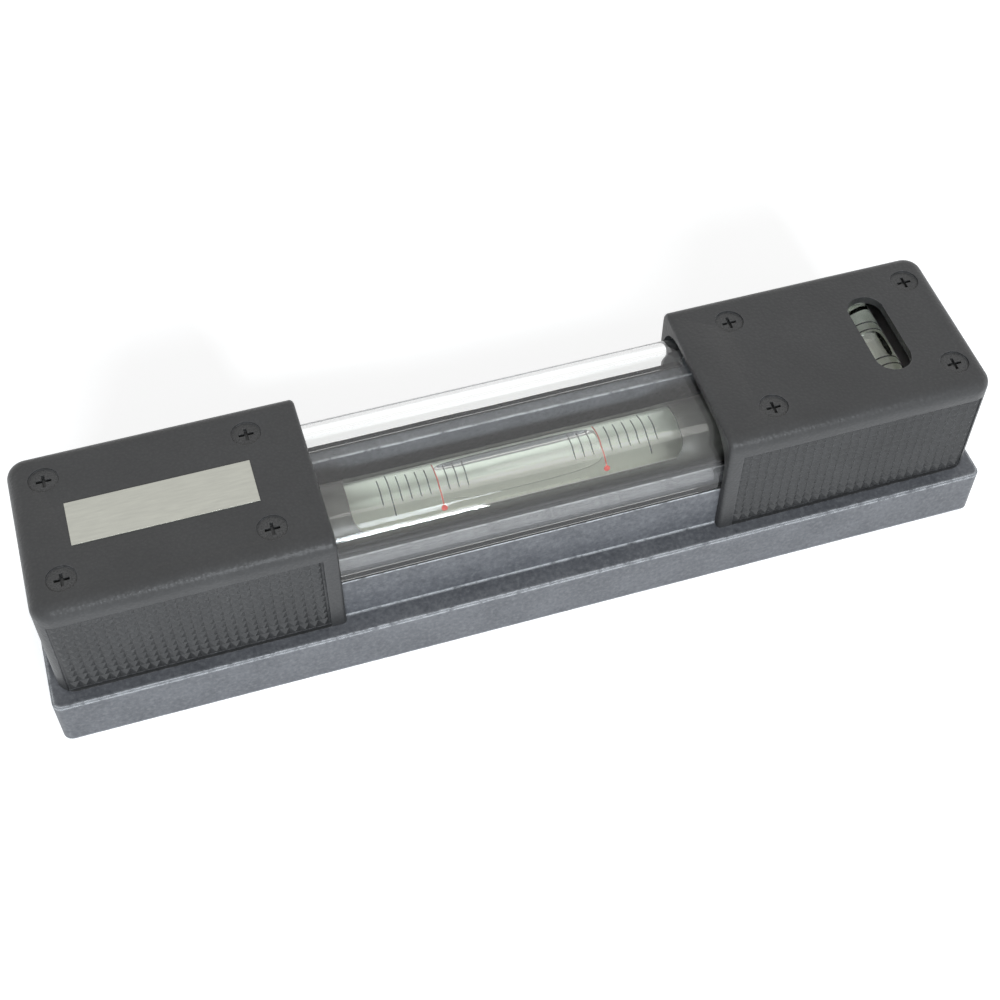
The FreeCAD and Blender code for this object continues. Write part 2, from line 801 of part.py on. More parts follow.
def make_main_vial():
    ends = (-vial_left, vial_right)
    axis = size.vial_axis
    body = new_body("MainVialBlank")
    section = circles(body, "VialSection", "YZ_Plane", ends[0], [(ZERO, axis)], size.vial_radius)
    feature(body, "Pad", "VialBlank", section, vial_left + vial_right)
    soften(body, "Chamfer", "VialEnds", lambda edge: edge.BoundBox.XLength < 1e-4,
           size.vial_end_edge)
    hollow_ends = (ends[0] + size.vial_end_wall, ends[1] - size.vial_end_wall)
    hollow = rod("MainVialHollow", vial_bore, hollow_ends, z=axis, turn=ALONG_X)
    node("main_vial_glass", cut("MainVialGlass", body, hollow))

    strip_ends = (-window_left - size.backing_reach, window_right + size.backing_reach)
    outside = rod("BackingOutside", backing_outer, strip_ends, z=axis, turn=ALONG_X)
    inside = rod("BackingInside", size.vial_radius + size.backing_gap, strip_ends,
                 z=axis, turn=ALONG_X)
    ring = cut("BackingRing", outside, inside)
    lower = block("BackingHalf", strip_ends, (-size.sleeve_radius, size.sleeve_radius),
                  (axis - size.sleeve_radius, axis + size.backing_rise))
    node("main_vial_backing", overlap("MainVialBacking", [ring, lower]))

    bubble_foot = axis + vial_bore - size.spirit_gap * 2 - size.bubble_depth
    filling = rod("SpiritBore", vial_bore - size.spirit_gap,
                  (hollow_ends[0] + size.spirit_gap, hollow_ends[1] - size.spirit_gap),
                  z=axis, turn=ALONG_X)
    level = block("SpiritLevel", hollow_ends, (-vial_bore, vial_bore),
                  (axis - vial_bore, bubble_foot - size.spirit_gap))
    node("main_vial_spirit", overlap("MainVialSpirit", [filling, level]))

    half_length = size.index_distance / 2
    radius = size.bubble_width / 2
    rise = (bubble_foot, axis + vial_bore)
    flats = (size.scale_middle - half_length + radius, size.scale_middle + half_length - radius)
    plan = join("BubblePlan", [
        block("BubbleMiddle", flats, (-radius, radius), rise),
        rod("BubbleLeftEnd", radius, rise, x=flats[0]),
        rod("BubbleRightEnd", radius, rise, x=flats[1]),
    ])
    crown = rod("BubbleBore", vial_bore - size.spirit_gap * 2,
                (size.scale_middle - half_length, size.scale_middle + half_length),
                z=axis, turn=ALONG_X)
    node("main_bubble", overlap("MainBubble", [plan, crown]))


def ring_strip(radius, height, width, start, end):
    """Strip of a thin ring about X, from start to end degrees above the front horizon."""
    span = end - start
    outer = Part.makeCylinder(radius + height, width, Vector(), Vector(0, 0, 1), span)
    inner = Part.makeCylinder(radius, width, Vector(), Vector(0, 0, 1), span)
    strip = outer.cut(inner)
    strip.Placement = Placement(Vector(-width / 2, 0, 0), Rotation(Vector(1, 0, 0), 180 - end)
                                * Rotation(Vector(1, 1, 1), 120))
    return strip


def make_scale():
    """Black division lines in two groups, and the two red index lines that end in a dot."""
    radius = size.vial_radius.value
    height = size.line_height.value
    width = size.line_width.value
    short_line = (size.short_line_from.value, size.short_line_to.value)
    long_line = (size.long_line_from.value, size.long_line_to.value)
    index_line = (size.index_line_from.value, size.long_line_to.value)
    black = []
    red = []
    for side in (-1, 1):
        index_x = size.scale_middle.value + side * size.index_distance.value / 2
        for division in range(-3, 7):
            span = short_line
            if division == 0:
                span = index_line
            elif division == 5:
                span = long_line
            strip = ring_strip(radius, height, width, *span)
            strip.translate(Vector(index_x + side * division * size.scale_division.value,
                                   0, size.vial_axis.value))
            if division == 0:
                dot_angle = math.radians(index_line[0])
                outward = Vector(0, -math.cos(dot_angle), math.sin(dot_angle))
                foot = Vector(index_x, 0, size.vial_axis.value) + outward * (radius - 1)
                peg = Part.makeCylinder(size.index_dot.value / 2, 2, foot, outward)
                shell = Part.makeCylinder(radius + height, 4, Vector(index_x - 2, 0, size.vial_axis.value),
                                          Vector(1, 0, 0))
                core = Part.makeCylinder(radius, 4, Vector(index_x - 2, 0, size.vial_axis.value),
                                         Vector(1, 0, 0))
                dot = peg.common(shell.cut(core))
                red.append(strip.fuse(dot))
            else:
                black.append(strip)
    for label, name, strips in (("graduation_lines", "GraduationLines", black),
                                ("index_lines", "IndexLines", red)):
        item = doc.addObject("Part::Feature", name)
        item.Shape = Part.Compound(strips)
        node(label, item)


def plug_blank(name, end, inner_end, side):
    """Turned plug that fits the sleeve's bore, with a flange against the sleeve's end."""
    flange_end = end + size.plug_flange * side
    seat = (end, inner_end) if side < 0 else (inner_end, end)
    flange = (flange_end, end) if side < 0 else (end, flange_end)
    spigot = rod(name + "Spigot", sleeve_bore - size.plug_fit, seat, z=size.vial_axis, turn=ALONG_X)
    disc = rod(name + "Disc", size.sleeve_radius, flange, z=size.vial_axis, turn=ALONG_X)
    return [spigot, disc], flange_end


def make_plugs():
    axis = size.vial_axis
    setting = (sleeve_left - vial_left) / 4
    left_seat = -vial_left - setting
    right_seat = vial_right + setting

    pieces, flange_end = plug_blank("Pivot", -sleeve_left, left_seat, -1)
    half_eye = size.eye_width / 2
    lug = block("PivotLug", (-pivot_distance, flange_end), (-half_eye, half_eye),
                (axis - size.eye_radius, axis + size.eye_radius))
    eye = rod("PivotEye", size.eye_radius, (-half_eye, half_eye), x=-pivot_distance,
              z=axis, turn=ALONG_Y)
    blank = join("PivotBlank", pieces + [lug, eye])
    bore = rod("PivotBore", size.pin_radius + size.pivot_clearance, (-half_eye, half_eye),
               x=-pivot_distance, z=axis, turn=ALONG_Y)
    node("pivot_plug", cut("PivotPlug", blank, bore))
    half_pin = rib_half_width - size.pin_sink
    node("pivot_pin", rod("PivotPin", size.pin_radius, (-half_pin, half_pin),
                          x=-pivot_distance, z=axis, turn=ALONG_Y))

    pieces, flange_end = plug_blank("Tongue", sleeve_right, right_seat, 1)
    half_tongue = size.tongue_width / 2
    half_thickness = size.tongue_thickness / 2
    tongue_end = adjuster_distance + size.tongue_reach
    blade = block("TongueBlade", (flange_end, tongue_end), (-half_tongue, half_tongue),
                  (axis - half_thickness, axis + half_thickness))
    blank = join("TongueBlank", pieces + [blade])
    bore = rod("TongueBore", size.adjuster_radius + size.adjuster_clearance,
               (axis - half_thickness, axis + half_thickness), x=adjuster_distance)
    node("tongue_plug", cut("TonguePlug", blank, bore))

    discs = []
    for name, seat in (("LeftSetting", (left_seat, -vial_left)),
                       ("RightSetting", (vial_right, right_seat))):
        discs.append(rod(name, sleeve_bore - size.plug_fit, seat, z=axis, turn=ALONG_X))
    node("vial_settings", group("VialSettings", discs))


# ---- adjuster ----------------------------------------------------------------------------------

def make_adjuster():
    x = adjuster_distance
    collar_top = size.boss_top + size.collar_height
    pieces = [
        rod("AdjusterPilot", size.pilot_radius, (size.pilot_bottom, size.boss_top), x=x),
        rod("AdjusterCollar", size.collar_radius, (size.boss_top, collar_top), x=x),
        rod("AdjusterStem", size.adjuster_radius, (collar_top, size.adjuster_top), x=x),
    ]
    blank = join("AdjusterBlank", pieces)
    half_slot = size.adjuster_slot_width / 2
    slot = block("AdjusterSlot", (x - size.adjuster_radius, x + size.adjuster_radius),
                 (-half_slot, half_slot), (size.adjuster_top - size.adjuster_slot_depth, size.adjuster_top))
    node("adjusting_screw", cut("AdjustingScrew", blank, slot))

    body = new_body("SpringBridge")
    half_width = size.bridge_width / 2
    leg_outer = trough_half_width
    leg_inner = leg_outer - size.bridge_thickness
    foot_top = size.rib_top + size.bridge_thickness
    corners = [
        (-foot_end, size.rib_top), (-foot_end, foot_top),
        (-leg_outer, foot_top), (-leg_outer, size.bridge_top),
        (leg_outer, size.bridge_top), (leg_outer, foot_top),
        (foot_end, foot_top), (foot_end, size.rib_top),
        (leg_inner, size.rib_top), (leg_inner, bridge_under),
        (-leg_inner, bridge_under), (-leg_inner, size.rib_top),
    ]
    section = outline(body, "BridgeSection", "YZ_Plane", x - half_width, corners)
    feature(body, "Pad", "BridgeStrip", section, size.bridge_width)
    bends = ((leg_outer.value, size.bridge_top.value), (leg_inner.value, size.rib_top.value))
    soften(body, "Fillet", "BridgeBends",
           lambda edge: near(edge.BoundBox.XLength, size.bridge_width.value)
           and any(near(abs(edge.BoundBox.YMin), y) and near(edge.BoundBox.ZMin, z) for y, z in bends),
           size.bridge_bend)
    hole = circles(body, "BridgeHolePlan", "XY_Plane", size.bridge_top, [(x, ZERO)],
                   size.bridge_hole_radius)
    feature(body, "Pocket", "BridgeHole", hole, size.bridge_thickness)
    holes = circles(body, "BridgeFootPlan", "XY_Plane", foot_top, foot_screw_places(x),
                    size.foot_screw_radius + size.foot_hole_clearance)
    feature(body, "Pocket", "BridgeFootHoles", holes, size.bridge_thickness)
    node("spring_bridge", body)
    make_foot_screws("bridge_screws", x, foot_top)

    helix = doc.addObject("Part::Helix", "SpringLine")
    height = bridge_under - tongue_top - (size.spring_wire + size.spring_gap) * 2
    bind(helix, "Pitch", height / size.spring_turns)
    bind(helix, "Height", height)
    bind(helix, "Radius", size.spring_radius)
    move_to(helix, x, ZERO, tongue_top + size.spring_wire + size.spring_gap)
    wire = doc.addObject("Part::RegularPolygon", "SpringWire")
    wire.Polygon = 6
    bind(wire, "Circumradius", size.spring_wire)
    move_to(wire, x + size.spring_radius, ZERO, tongue_top + size.spring_wire + size.spring_gap,
            ALONG_Y)
    doc.recompute()
    coil = doc.addObject("Part::Sweep", "HoldDownSpring")
    coil.Sections = [wire]
    coil.Spine = (helix, ["Edge%d" % (index + 1) for index in range(len(helix.Shape.Edges))])
    coil.Solid = True
    coil.Frenet = True
    node("hold_down_spring", coil)


def make_foot_screws(label, x, seat):
    """Two pan-head screws that hold a foot on each rim."""
    screws = []
    title = label.title().replace("_", "")
    for number, (_, y) in enumerate(foot_screw_places(x)):
        name = "%s%d" % (title, number)
        bottom = size.rib_top - size.foot_screw_length
        shank = rod(name + "Shank", size.foot_screw_radius, (bottom, seat), x, y)
        head = rod(name + "Head", size.foot_head_radius, (seat, seat + size.foot_head_height), x, y)
        screws.append(join(name, [shank, head]))
    node(label, group(title, screws))


# ---- cross vial --------------------------------------------------------------------------------

def make_cross_vial():
    x = slot_middle
    axis = size.cross_axis
    ends = (-cross_half_length, cross_half_length)
    outside = rod("CrossOutside", size.cross_radius, ends, x=x, z=axis, turn=ALONG_Y)
    hollow_ends = (ends[0] + size.cross_end_wall, ends[1] - size.cross_end_wall)
    hollow = rod("CrossHollow", cross_bore, hollow_ends, x=x, z=axis, turn=ALONG_Y)
    node("cross_vial_glass", cut("CrossVialGlass", outside, hollow))

    shell = cut("CrossBackingRing",
                rod("CrossBackingOutside", cross_backing_outer, ends, x=x, z=axis, turn=ALONG_Y),
                rod("CrossBackingInside", size.cross_radius + size.backing_gap, ends,
                    x=x, z=axis, turn=ALONG_Y))
    lower = block("CrossBackingHalf", (x - saddle_bore, x + saddle_bore), ends,
                  (axis - saddle_bore, axis + size.cross_backing_rise))
    node("cross_vial_backing", overlap("CrossVialBacking", [shell, lower]))

    bubble_foot = axis + cross_bore - size.spirit_gap * 2 - size.cross_bubble_depth
    filling = rod("CrossSpiritBore", cross_bore - size.spirit_gap,
                  (hollow_ends[0] + size.spirit_gap, hollow_ends[1] - size.spirit_gap),
                  x=x, z=axis, turn=ALONG_Y)
    level = block("CrossSpiritLevel", (x - cross_bore, x + cross_bore), hollow_ends,
                  (axis - cross_bore, bubble_foot - size.spirit_gap))
    node("cross_vial_spirit", overlap("CrossVialSpirit", [filling, level]))

    half_length = size.cross_bubble_length / 2
    radius = size.cross_bubble_width / 2
    rise = (bubble_foot, axis + cross_bore)
    flats = (radius - half_length, half_length - radius)
    plan = join("CrossBubblePlan", [
        block("CrossBubbleMiddle", (x - radius, x + radius), flats, rise),
        rod("CrossBubbleFrontEnd", radius, rise, x=x, y=flats[0]),
        rod("CrossBubbleBackEnd", radius, rise, x=x, y=flats[1]),
    ])
    crown = rod("CrossCrown", cross_bore - size.spirit_gap * 2, (-half_length, half_length),
                x=x, z=axis, turn=ALONG_Y)
    node("cross_bubble", overlap("CrossBubble", [plan, crown]))

    rings = []
    for side in (-1, 1):
        for distance in (size.ring_inner.value, size.ring_outer.value):
            opening = size.ring_opening.value
            ring = ring_strip(size.cross_radius.value, size.line_height.value,
                              size.ring_width.value, opening, 180 - opening)
            ring.rotate(Vector(), Vector(0, 0, 1), 90)
            ring.translate(Vector(x.value, side * distance, axis.value))
            rings.append(ring)
    item = doc.addObject("Part::Feature", "CrossVialRings")
    item.Shape = Part.Compound(rings)
    node("cross_vial_rings", item)

    body = new_body("CrossVialSaddle")
    half_width = size.saddle_width / 2
    top = axis + size.saddle_rise
    corners = [
        (-foot_end, size.rib_top), (foot_end, size.rib_top),
        (foot_end, size.saddle_foot_top), (saddle_half_length, size.saddle_foot_top),
        (saddle_half_length, top), (-saddle_half_length, top),
        (-saddle_half_length, size.saddle_foot_top), (-foot_end, size.saddle_foot_top),
    ]
    section = outline(body, "SaddleSection", "YZ_Plane", x - half_width, corners)
    feature(body, "Pad", "SaddleBlock", section, size.saddle_width)
    groove = circles(body, "SaddleGroovePlan", "XZ_Plane", -saddle_half_length,
                     [(x, axis)], saddle_bore)
    feature(body, "Pocket", "SaddleGroove", groove, saddle_half_length * 2)
    holes = circles(body, "SaddleFootPlan", "XY_Plane", size.saddle_foot_top,
                    foot_screw_places(x), size.foot_screw_radius + size.foot_hole_clearance)
    feature(body, "Pocket", "SaddleFootHoles", holes, size.saddle_foot_top - size.rib_top)
    node("cross_vial_saddle", body)
    make_foot_screws("saddle_screws", x, size.saddle_foot_top)


# ---- the level ---------------------------------------------------------------------------------

make_base()
make_cover(-1, "left_cover", cover_screws["left"])
make_cover(1, "right_cover", cover_screws["right"])
make_cover_screws("left_cover_screws", cover_screws["left"])
make_cover_screws("right_cover_screws", cover_screws["right"])
make_plate()
make_hood()
make_sleeve()
make_main_vial()
make_scale()
make_plugs()
make_adjuster()
make_cross_vial()
doc.recompute()

for item in doc.Objects:
    if "Invalid" in item.State or "Error" in item.State:
        raise RuntimeError("%s did not build: %s" % (item.Name, item.State))
for label, item in nodes.items():
    if item.Shape.isNull() or not item.Shape.isValid() or not item.Shape.Solids:
        raise RuntimeError("%s has no valid solid" % label)

os.makedirs("parts", exist_ok=True)
for label, item in nodes.items():
    item.Shape.exportStep(os.path.join("parts", label + ".step"))
    box = item.Shape.BoundBox
    print("%-22s %9.1f mm3  x %7.2f %7.2f  y %7.2f %7.2f  z %6.2f %6.2f  solids %d" % (
        label, item.Shape.Volume, box.XMin, box.XMax, box.YMin, box.YMax, box.ZMin, box.ZMax,
        len(item.Shape.Solids)))
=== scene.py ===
"""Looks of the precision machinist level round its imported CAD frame. Everything is in metres."""
import math

import bmesh
import bpy
from mathutils import Matrix, Vector


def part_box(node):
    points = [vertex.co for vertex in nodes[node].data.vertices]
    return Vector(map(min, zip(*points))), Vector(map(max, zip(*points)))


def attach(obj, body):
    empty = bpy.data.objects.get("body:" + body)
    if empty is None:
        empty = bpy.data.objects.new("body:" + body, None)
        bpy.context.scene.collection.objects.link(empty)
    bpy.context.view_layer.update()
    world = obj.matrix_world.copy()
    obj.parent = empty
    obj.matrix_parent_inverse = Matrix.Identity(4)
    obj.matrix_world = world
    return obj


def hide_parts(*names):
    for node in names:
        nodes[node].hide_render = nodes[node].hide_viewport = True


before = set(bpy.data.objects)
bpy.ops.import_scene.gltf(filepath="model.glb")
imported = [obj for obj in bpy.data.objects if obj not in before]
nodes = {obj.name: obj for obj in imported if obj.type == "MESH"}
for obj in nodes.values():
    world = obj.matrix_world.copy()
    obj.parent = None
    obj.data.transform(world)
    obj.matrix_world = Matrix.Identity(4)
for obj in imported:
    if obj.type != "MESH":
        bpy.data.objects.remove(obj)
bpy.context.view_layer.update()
scene = bpy.context.scene

MM = 0.001
FRONT = Vector((0, -1, 0))
UP = Vector((0, 0, 1))


# ---- camera ------------------------------------------------------------------------------------

LENS_MM = 60.535
SENSOR_MM = 36.0
CAMERA_PLACE = Vector((-65.442, -203.170, 300.173)) * MM
CAMERA_TURN = (0.6395031, -0.003351013, -0.2988145)

camera_data = bpy.data.cameras.new("camera")
camera_data.lens = LENS_MM
camera_data.sensor_width = SENSOR_MM
camera_data.clip_start = 0.01
camera = bpy.data.objects.new("camera", camera_data)
camera.location = CAMERA_PLACE
camera.rotation_euler = CAMERA_TURN
scene.collection.objects.link(camera)
scene.camera = camera


# ---- materials ---------------------------------------------------------------------------------

class Shade:
    """Writes the node tree of one material."""

    def __init__(self, name):
        self.material = bpy.data.materials.new(name)
        self.material.use_nodes = True
        self.tree = self.material.node_tree
        self.tree.nodes.clear()
        self.output = self.add("OutputMaterial")
        self.place = self.add("TexCoord").outputs["Object"]

    def add(self, kind, inputs=None, **settings):
        item = self.tree.nodes.new("ShaderNode" + kind)
        for name, value in settings.items():
            setattr(item, name, value)
        for name, value in (inputs or {}).items():
            self.feed(item.inputs[name], value)
        return item

    def feed(self, socket, value):
        if isinstance(value, bpy.types.NodeSocket):
            self.tree.links.new(value, socket)
        else:
            socket.default_value = value

    def noise(self, size, detail=3.0, roughness=0.55, stretch=(1, 1, 1)):
        """Soft noise whose blotches are about size metres across."""
        place = self.add("Mapping", {"Vector": self.place, "Scale": stretch}).outputs[0]
        item = self.add("TexNoise", {"Vector": place, "Scale": 1 / size, "Detail": detail,
                                     "Roughness": roughness})
        return item.outputs["Fac"]

    def cells(self, size, feature="F1"):
        """Distance to the nearest of many points about size metres apart."""
        item = self.add("TexVoronoi", {"Vector": self.place, "Scale": 1 / size}, feature=feature)
        return item.outputs["Distance"]

    def span(self, value, low, high, out_low=0.0, out_high=1.0):
        """Value from low to high, carried over to another span and held at its ends."""
        item = self.add("MapRange", {"Value": value, "From Min": low, "From Max": high,
                                     "To Min": out_low, "To Max": out_high})
        return item.outputs["Result"]

    def maths(self, operation, first, second=0.0):
        item = self.add("Math", operation=operation)
        self.feed(item.inputs[0], first)
        self.feed(item.inputs[1], second)
        return item.outputs[0]

    def blend(self, factor, first, second):
        item = self.add("Mix", data_type="RGBA")
        self.feed(item.inputs["Factor"], factor)
        for socket, colour in ((item.inputs[6], first), (item.inputs[7], second)):
            self.feed(socket, colour if isinstance(colour, bpy.types.NodeSocket) else (*colour, 1))
        return item.outputs[2]

    def bump(self, height, depth, strength=1.0, under=None):
        inputs = {"Height": height, "Distance": depth, "Strength": strength}
        if under is not None:
            inputs["Normal"] = under
        return self.add("Bump", inputs).outputs["Normal"]

    def edge(self, radius, start=0.02, full=0.25):
        """1 along the object's sharp edges, 0 on its flats."""
        soft = self.add("Bevel", {"Radius": radius}, samples=6).outputs["Normal"]
        hard = self.add("NewGeometry").outputs["Normal"]
        dot = self.add("VectorMath", operation="DOT_PRODUCT")
        self.feed(dot.inputs[0], soft)
        self.feed(dot.inputs[1], hard)
        return self.span(dot.outputs["Value"], 1 - start, 1 - full)

    def surface(self, **inputs):
        """The usual shader with the given inputs, by name with spaces as underscores."""
        named = {}
        for name, value in inputs.items():
            if isinstance(value, tuple) and len(value) == 3:
                value = (*value, 1)
            named[name.replace("_", " ")] = value
        return self.add("BsdfPrincipled", named).outputs[0]

    def finish(self, shader):
        self.tree.links.new(shader, self.output.inputs["Surface"])
        return self.material

    def clear_to_light(self, shader, tint=(1, 1, 1)):
        """Lets light and shadow rays straight through a clear piece."""
        path = self.add("LightPath")
        through = self.add("BsdfTransparent", {"Color": (*tint, 1)}).outputs[0]
        lit = self.maths("MAXIMUM", path.outputs["Is Shadow Ray"], path.outputs["Is Diffuse Ray"])
        mixer = self.add("MixShader")
        self.feed(mixer.inputs[0], lit)
        self.feed(mixer.inputs[1], shader)
        self.feed(mixer.inputs[2], through)
        return mixer.outputs[0]


def casting_material():
    """Grey hammer paint over cast iron, speckled, rubbed bright along its edges."""
    m = Shade("casting")
    blotch = m.noise(7 * MM, 4)
    fleck = m.noise(0.9 * MM, 4, 0.7)
    colour = m.blend(m.span(blotch, 0.35, 0.7), (0.085, 0.088, 0.096), (0.115, 0.118, 0.127))
    colour = m.blend(m.span(fleck, 0.5, 0.72, 0, 0.55), colour, (0.20, 0.205, 0.21))
    colour = m.blend(m.span(fleck, 0.47, 0.3, 0, 0.6), colour, (0.045, 0.047, 0.052))
    rub = m.maths("MULTIPLY", m.edge(0.9 * MM, 0.01, 0.10), m.span(m.noise(2.5 * MM, 5, 0.7), 0.36, 0.52))
    colour = m.blend(rub, colour, (0.62, 0.63, 0.64))
    rough = m.span(m.noise(1.2 * MM, 3), 0.3, 0.7, 0.38, 0.55)
    normal = m.bump(m.noise(0.7 * MM, 3), 0.05 * MM)
    normal = m.bump(blotch, 0.1 * MM, 0.6, normal)
    return m.finish(m.surface(Base_Color=colour, Roughness=rough, Normal=normal,
                              Specular_IOR_Level=0.5))


def cover_material():
    """Dark moulded plastic with a fine pebble grain, painted shade in the grain's valleys and a painted
    speckled highlight along its edges.
    """
    m = Shade("cover")
    pebble = m.cells(0.62 * MM, "SMOOTH_F1")
    haze = m.noise(14 * MM, 3)
    colour = m.blend(m.span(haze, 0.3, 0.7), (0.030, 0.030, 0.030), (0.040, 0.040, 0.040))
    # The pebble valleys are painted darker: painted shade in the grain's hollows.
    colour = m.blend(m.span(pebble, 0.15, 0.6, 0.0, 0.35), colour, (0.018, 0.018, 0.019))
    # Lighter speckled band along the sharp edges: a painted highlight on the rounded edges.
    edge_highlight = m.maths("MULTIPLY", m.edge(0.35 * MM, 0.05, 0.4), m.span(m.noise(0.9 * MM), 0.4, 0.6))
    colour = m.blend(m.maths("MULTIPLY", edge_highlight, 0.5), colour, (0.2, 0.2, 0.21))
    normal = m.bump(m.maths("SUBTRACT", 1.0, pebble), 0.09 * MM, 0.8)
    normal = m.bump(m.noise(0.25 * MM, 2), 0.02 * MM, 0.5, normal)
    return m.finish(m.surface(Base_Color=colour, Roughness=0.42, Normal=normal,
                              Specular_IOR_Level=0.5))


def metal_material(name, light, dark, grain, stretch, rough, metallic=1.0):
    """Metal with the fine marks of its turning, drawing or brushing."""
    m = Shade(name)
    marks = m.noise(grain, 4, 0.6, stretch)
    stain = m.noise(5 * MM, 3)
    colour = m.blend(m.span(marks, 0.3, 0.7), dark, light)
    colour = m.blend(m.span(stain, 0.45, 0.75, 0, 0.3), colour, dark)
    roughness = m.span(marks, 0.3, 0.7, rough - 0.06, rough + 0.08)
    normal = m.bump(marks, 0.015 * MM, 0.6)
    return m.finish(m.surface(Base_Color=colour, Metallic=metallic, Roughness=roughness,
                              Normal=normal))


def matt_material(name, light, dark, grain, rough, depth=0.02 * MM):
    """Plain matt stuff with a little unevenness."""
    m = Shade(name)
    marks = m.noise(grain, 3)
    colour = m.blend(m.span(marks, 0.3, 0.7), dark, light)
    roughness = m.span(m.noise(grain * 3, 2), 0.3, 0.7, rough - 0.05, rough + 0.05)
    normal = m.bump(marks, depth, 0.6)
    return m.finish(m.surface(Base_Color=colour, Roughness=roughness, Normal=normal))


def clear_material(name, ior, tint, rough=0.0, smear=0.0):
    """Clear stuff; smear gives its polish faint waves."""
    m = Shade(name)
    waves = m.bump(m.noise(9 * MM, 2), 0.2 * MM, smear)
    dust = m.span(m.noise(1.6 * MM, 5, 0.7), 0.55, 0.85, rough, rough + 0.05)
    shader = m.surface(Base_Color=tint, Roughness=dust, IOR=ior, Transmission_Weight=1.0,
                       Normal=waves)
    return m.finish(m.clear_to_light(shader, tint))


casting = casting_material()
cover = cover_material()
screw_black = metal_material("cover_screw", (0.10, 0.10, 0.10), (0.03, 0.03, 0.03), 0.3 * MM,
                             (1, 1, 1), 0.42, 0.6)
plate_metal = metal_material("plate", (0.54, 0.54, 0.48), (0.46, 0.46, 0.41), 0.5 * MM,
                             (0.12, 1, 1), 0.42, 0.75)
sleeve_paint = matt_material("sleeve", (0.085, 0.085, 0.075), (0.055, 0.055, 0.048), 1.5 * MM, 0.42)
seal_rubber = matt_material("seal", (0.014, 0.014, 0.014), (0.008, 0.008, 0.008), 0.5 * MM, 0.7)
backing_white = matt_material("backing", (0.94, 0.94, 0.89), (0.90, 0.90, 0.85), 3 * MM, 0.6)
black_paint = matt_material("black_paint", (0.05, 0.05, 0.05), (0.02, 0.02, 0.02), 0.3 * MM, 0.6)
red_paint = matt_material("red_paint", (0.50, 0.07, 0.05), (0.38, 0.04, 0.03), 0.3 * MM, 0.6)
brass = metal_material("turned_brass", (0.80, 0.60, 0.26), (0.62, 0.44, 0.17), 0.25 * MM,
                       (6, 1, 1), 0.28)
steel = metal_material("steel", (0.66, 0.66, 0.67), (0.48, 0.48, 0.49), 0.25 * MM, (1, 1, 5), 0.3)
setting_white = matt_material("setting", (0.70, 0.66, 0.55), (0.60, 0.56, 0.45), 1 * MM, 0.8)
saddle_metal = metal_material("saddle", (0.62, 0.62, 0.62), (0.48, 0.48, 0.48), 0.5 * MM,
                              (5, 1, 1), 0.38)
hood_clear = clear_material("clear_hood", 1.49, (0.985, 0.99, 0.985), smear=0.15)
GLASS_IOR = 1.5
SPIRIT_IOR = 1.36
vial_clear = clear_material("vial_glass", GLASS_IOR, (0.99, 1.0, 0.99))
vial_bore = clear_material("vial_bore", GLASS_IOR / SPIRIT_IOR, (0.98, 0.99, 0.96))
bubble_clear = clear_material("bubble", 1 / SPIRIT_IOR, (1, 1, 1))


# ---- building of pieces ------------------------------------------------------------------------

def new_piece(name, mesh, materials, body, replaced):
    """Object that rides on a body and stands for the CAD nodes given."""
    piece = bpy.data.objects.new(name, mesh)
    scene.collection.objects.link(piece)
    for material in materials:
        mesh.materials.append(material)
    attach(piece, body)
    if replaced:
        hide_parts(*replaced)
    return piece


def refined(node, name, material, body, bevel, segments=2, angle=35):
    """Finer copy of a CAD node: welded, with rounded edges and smooth shading."""
    mesh = nodes[node].data.copy()
    mesh.materials.clear()
    work = bmesh.new()
    work.from_mesh(mesh)
    bmesh.ops.remove_doubles(work, verts=work.verts, dist=0.002 * MM)
    bmesh.ops.dissolve_limit(work, angle_limit=math.radians(0.5), verts=work.verts,
                             edges=work.edges)
    work.to_mesh(mesh)
    work.free()
    mesh.name = name
    piece = new_piece(name, mesh, [material], body, [node])
    if bevel:
        rounding = piece.modifiers.new("rounding", "BEVEL")
        rounding.width = bevel
        rounding.segments = segments
        rounding.limit_method = "ANGLE"
        rounding.angle_limit = math.radians(angle)
        rounding.harden_normals = True
        rounding.use_clamp_overlap = True
    mesh.set_sharp_from_angle(angle=math.radians(angle))
    for face in mesh.polygons:
        face.use_smooth = True
    return piece


def cad(node):
    low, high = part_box(node)
    return low, high


# refined copies of the CAD pieces

refined("base_casting", "cast_base", casting, "level_body", 0.12 * MM)
for side in ("left", "right"):
    refined(side + "_cover", side + "_moulding", cover, "level_body", 0.08 * MM)
    refined(side + "_cover_screws", side + "_screws", screw_black, "level_body",
            0.08 * MM)
refined("label_plate", "bare_plate", plate_metal, "level_body", 0.08 * MM)
refined("hood_seals", "seal_strips", seal_rubber, "level_body", 0.12 * MM)
refined("spring_bridge", "bent_bridge", steel, "level_body", 0.15 * MM)
refined("bridge_screws", "bridge_pan_screws", steel, "level_body", 0.25 * MM)
refined("saddle_screws", "saddle_pan_screws", steel, "level_body", 0.25 * MM)
refined("cross_vial_saddle", "milled_saddle", saddle_metal, "level_body", 0.2 * MM)
refined("pivot_pin", "ground_pin", steel, "level_body", 0.2 * MM)
refined("hold_down_spring", "coil_spring", steel, "level_body", 0)
refined("pivot_plug", "turned_pivot_plug", brass, "vial_carrier", 0.2 * MM)
refined("tongue_plug", "turned_tongue_plug", brass, "vial_carrier", 0.2 * MM)
refined("vial_settings", "setting_rings", setting_white, "vial_carrier", 0.1 * MM)
refined("adjusting_screw", "slotted_adjuster", steel, "adjuster", 0.12 * MM)
refined("vial_sleeve", "window_sleeve", sleeve_paint, "vial_carrier", 0.12 * MM)
for node, material in (("graduation_lines", black_paint), ("index_lines", red_paint),
                       ("cross_vial_rings", black_paint), ("main_vial_backing", backing_white),
                       ("cross_vial_backing", backing_white)):
    nodes[node].data.materials.clear()
    nodes[node].data.materials.append(material)


